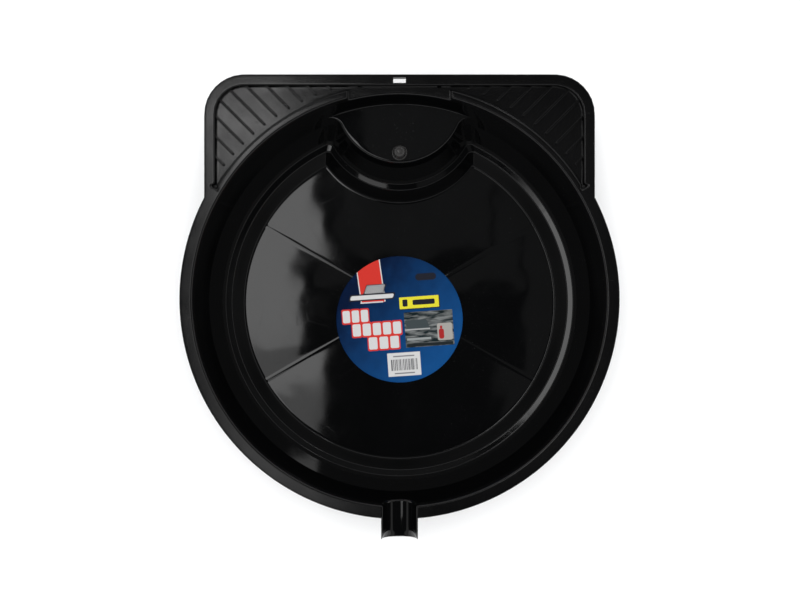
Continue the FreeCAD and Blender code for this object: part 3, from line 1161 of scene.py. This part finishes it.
label = {
    "radius": labelHigh.x,
    "y": (labelLow.y + labelHigh.y) / 2,
    "thickness": 0.0003,
    "rows": 26,
    "tilt": 4.0,  # degrees that the print is turned
    "creaseAngles": (-1.6, -0.8, -0.35, 0, 0.35, 0.8, 1.6),  # rays near each of the floor's creases
    "blues": ((0.0003, 0.0055, 0.026, 1), (0.0036, 0.054, 0.185, 1)),
    "inks": {
        "red": (0.50, 0.030, 0.022, 1),
        "yellow": (0.62, 0.56, 0.03, 1),
        "white": (0.52, 0.52, 0.52, 1),
        "ink": (0.012, 0.013, 0.020, 1),
        "smallPrint": (0.15, 0.15, 0.16, 1),
        "shadow": (0.012, 0.016, 0.018, 1),
        "steel": (0.040, 0.052, 0.056, 1),
        "edge": (0.30, 0.31, 0.31, 1),
        "bench": (0.24, 0.26, 0.26, 1),
        "cloth": (0.30, 0.29, 0.27, 1),
        "can": (0.30, 0.020, 0.020, 1),
    },
    # rounded panels in the order they are printed: middle, size, rounding, lean and ink, in metres
    "banner": [
        ((-0.0263, 0.0400), (0.0245, 0.0430), 0.0006, -0.07, "white"),
        ((-0.0263, 0.0395), (0.0225, 0.0420), 0.0006, -0.07, "red"),
        ((-0.0225, 0.0313), (0.0200, 0.0098), 0.0006, 0.45, "ink"),
    ],
    "flag": ((-0.0225, 0.0315), (0.0180, 0.0080), 0.0006, 0.45),
    "panels": [
        ((-0.0257, 0.0239), (0.0450, 0.0068), 0.0016, 0.3, "ink"),
        ((-0.0257, 0.0239), (0.0425, 0.0042), 0.0014, 0.3, "white"),
        ((-0.0262, 0.0186), (0.0225, 0.0012), 0.0004, 0, "white"),
        ((0.0287, 0.0405), (0.0205, 0.0068), 0.0033, 0, "ink"),
        ((0.0210, 0.0152), (0.0400, 0.0122), 0.0006, 0, "ink"),
        ((0.0205, 0.0157), (0.0390, 0.0115), 0.0006, 0, "yellow"),
        ((0.0065, 0.0157), (0.0050, 0.0070), 0.0012, 0, "ink"),
        ((0.0250, 0.0157), (0.0220, 0.0052), 0.0012, 0, "ink"),
    ],
    "wordTiles": [  # middle, whole width, tiles and height of each row of the heading
        ((-0.0433, 0.0058), 0.0270, 3, 0.0150),
        ((-0.0230, -0.0080), 0.0500, 5, 0.0150),
        ((-0.0170, -0.0220), 0.0320, 3, 0.0150),
    ],
    "picture": ((0.0286, -0.0111), (0.0480, 0.0350), 0.0004, 0),
    "pictureGreys": ((0.006, 0.012, 0.014, 1), (0.16, 0.17, 0.17, 1)),
    "pictureShapes": [
        ((0.0170, -0.0060), (0.0220, 0.0090), 0.002, -0.3, "steel"),
        ((0.0170, -0.0110), (0.0250, 0.0014), 0.0005, 0, "edge"),
        ((0.0180, -0.0205), (0.0240, 0.0022), 0.0005, 0, "bench"),
        ((0.0440, -0.0150), (0.0150, 0.0170), 0.002, 0, "cloth"),
        ((0.0405, -0.0170), (0.0050, 0.0100), 0.002, 0, "can"),
        ((0.0405, -0.0105), (0.0022, 0.0030), 0.0008, 0, "can"),
        ((0.0286, -0.0265), (0.0460, 0.0030), 0.001, 0, "shadow"),
    ],
    "barPanel": [((0.0016, -0.0446), (0.0325, 0.0232), 0.0004, 0, "white")],
    "bars": ((0.0016, -0.0450), (0.0260, 0.0110), 0.0002, 0),
    "barCaptions": [
        ((0.0016, -0.0365), (0.0210, 0.0012), 0.0003, 0, "smallPrint"),
        ((0.0016, -0.0534), (0.0200, 0.0012), 0.0003, 0, "smallPrint"),
    ],
}


def makeLabelSheet():  # rays from the floor's middle out to the label's edge
    angles = []
    for k in range(6):
        angles += [60 * k + d for d in label["creaseAngles"]]
        angles += list(np.linspace(60 * k + 4, 60 * k + 56, 18))
    angles.sort()
    centre = np.array((0, label["y"]))
    directions = [polar(1, a) for a in angles]
    reaches = [reachCircle(-centre, d, label["radius"]) for d in directions]
    rim = [d * r for d, r in zip(directions, reaches)]
    n = len(angles)
    base, thick = basin["heelLevel"], label["thickness"]
    points, faces = [(0, 0, base + thick)], []
    fractions = list(np.linspace(0, 1, label["rows"] + 1)[1:-1]) + [0.997, 1.0, 1.0]
    heights = [thick] * (label["rows"] - 1) + [thick, thick * 0.6, 0]
    for f, h in zip(fractions, heights):
        points += [(*(p * f), base + h) for p in rim]
    points.append((0, 0, base))
    faces += [(0, 1 + (k + 1) % n, 1 + k) for k in range(n)]
    for r in range(len(fractions) - 1):
        faces += ringFaces(1 + r * n, 1 + (r + 1) * n, n)
    last = 1 + (len(fractions) - 1) * n
    faces += [(len(points) - 1, last + k, last + (k + 1) % n) for k in range(n)]
    mesh = bpy.data.meshes.new("labelSheet")
    mesh.from_pydata(points, [], faces)
    mesh.attributes.new("share", "FLOAT", "POINT").data.foreach_set("value", [1.0] * len(points))
    return mesh


def printedPaper():
    material, tree, shader, place = startMaterial("printedPaper")

    def do(*values, **settings):
        return calc(tree, *values, **settings)

    tilt = (0, 0, math.radians(label["tilt"]))
    tilted = {"Vector": place, "Location": (0, label["y"], 0), "Rotation": tilt}
    turned = addNode(tree, "ShaderNodeMapping", tilted, vector_type="TEXTURE").outputs[0]
    x, y, z = addNode(tree, "ShaderNodeSeparateXYZ", {0: turned}).outputs
    soft = 0.00025

    def panel(centre, size, rounding, lean):  # a rounded panel's mask; lean slants it
        rise = do("SUBTRACT", y, centre[1])
        across = do("SUBTRACT", do("SUBTRACT", x, centre[0]), do("MULTIPLY", rise, lean))
        sides = []
        for offset, whole in ((across, size[0]), (rise, size[1])):
            beyond = do("SUBTRACT", do("ABSOLUTE", offset), whole / 2 - rounding)
            side = do("MAXIMUM", beyond, 0.0)
            sides.append(do("MULTIPLY", side, side))
        return spread(tree, do("SQRT", do("ADD", *sides)), rounding + soft, rounding - soft)

    def printPanels(colour, panels):
        for *shape, ink in panels:
            colour = blendColours(tree, panel(*shape), colour, label["inks"][ink])
        return colour

    slant = spread(tree, do("SUBTRACT", x, y), -0.07, 0.08)
    mottle = noiseOf(tree, place, 0.012, 3)
    tone = do("ADD", slant, do("MULTIPLY", do("SUBTRACT", mottle, 0.5), 0.35), clamp=True)
    colour = blendColours(tree, tone, *label["blues"])

    # the banner, with a striped flag and a plain strip across it, then the oval and the yellow panel
    colour = printPanels(colour, label["banner"])
    slope = do("MULTIPLY", do("ADD", do("MULTIPLY", x, 1.6), y), 1900.0)
    stripes = spread(tree, do("SINE", slope), -0.25, 0.25)
    striped = do("MULTIPLY", stripes, panel(*label["flag"]))
    colour = blendColours(tree, striped, colour, label["inks"]["white"])
    colour = printPanels(colour, label["panels"])

    # the heading, as plain tiles: a row's red borders, then its white faces
    for middle, width, tiles, height in label["wordTiles"]:
        pitch = width / tiles
        spots = [(middle[0] + pitch * (k + 0.5 - tiles / 2), middle[1]) for k in range(tiles)]
        border, face = (pitch * 1.02, height), (pitch * 0.80, height - 0.0030)
        for size, ink in ((border, "red"), (face, "white")):
            colour = printPanels(colour, [(spot, size, 0.0016, 0, ink) for spot in spots])

    # a picture of plain shapes: dark workshop greys, pale bands and a small red can
    streaks = addNode(tree, "ShaderNodeMapping", {"Vector": turned, "Scale": (70, 330, 1)}).outputs[0]
    drawn = {"Vector": streaks, "Scale": 1.0, "Detail": 4.0, "Distortion": 0.4}
    scene = addNode(tree, "ShaderNodeTexNoise", drawn).outputs["Fac"]
    grey = blendColours(tree, spread(tree, scene, 0.40, 0.66), *label["pictureGreys"])
    grey = printPanels(grey, label["pictureShapes"])
    colour = blendColours(tree, panel(*label["picture"]), colour, grey)

    # the bar panel
    colour = printPanels(colour, label["barPanel"])
    lines = addNode(tree, "ShaderNodeCombineXYZ", {0: do("MULTIPLY", x, 1300.0)}).outputs[0]
    drawn = {"Vector": lines, "Scale": 1.0, "Detail": 0.0}
    bars = addNode(tree, "ShaderNodeTexNoise", drawn).outputs["Fac"]
    barred = do("MULTIPLY", spread(tree, bars, 0.49, 0.51), panel(*label["bars"]))
    colour = blendColours(tree, barred, colour, label["inks"]["ink"])
    colour = printPanels(colour, label["barCaptions"])

    fibre = noiseOf(tree, place, 0.0006, 4, 0.65)
    flecks = spread(tree, fibre, 0.62, 0.75, 0.0, 0.05)
    colour = blendColours(tree, flecks, colour, (0.04, 0.08, 0.15, 1))
    tree.links.new(colour, shader.inputs["Base Color"])
    rough = spread(tree, noiseOf(tree, place, 0.008, 3), 0.3, 0.7, 0.36, 0.50)
    tree.links.new(rough, shader.inputs["Roughness"])
    wrinkle = noiseOf(tree, place, 0.011, 2)
    normal = bumps(tree, [(wrinkle, 0.00008, 1.0), (fibre, 0.00001, 1.0)])
    tree.links.new(normal, shader.inputs["Normal"])
    shader.inputs["Specular IOR Level"].default_value = 0.04
    return material


paper = printedPaper()
disc = shadeByAngle(runTree(makeLabelSheet(), press, {**floorPress, "Finish": paper}), 40)
finishPiece("round_label_piece", disc, paper, "label_print", "round_label")
print("label laid on the floor")
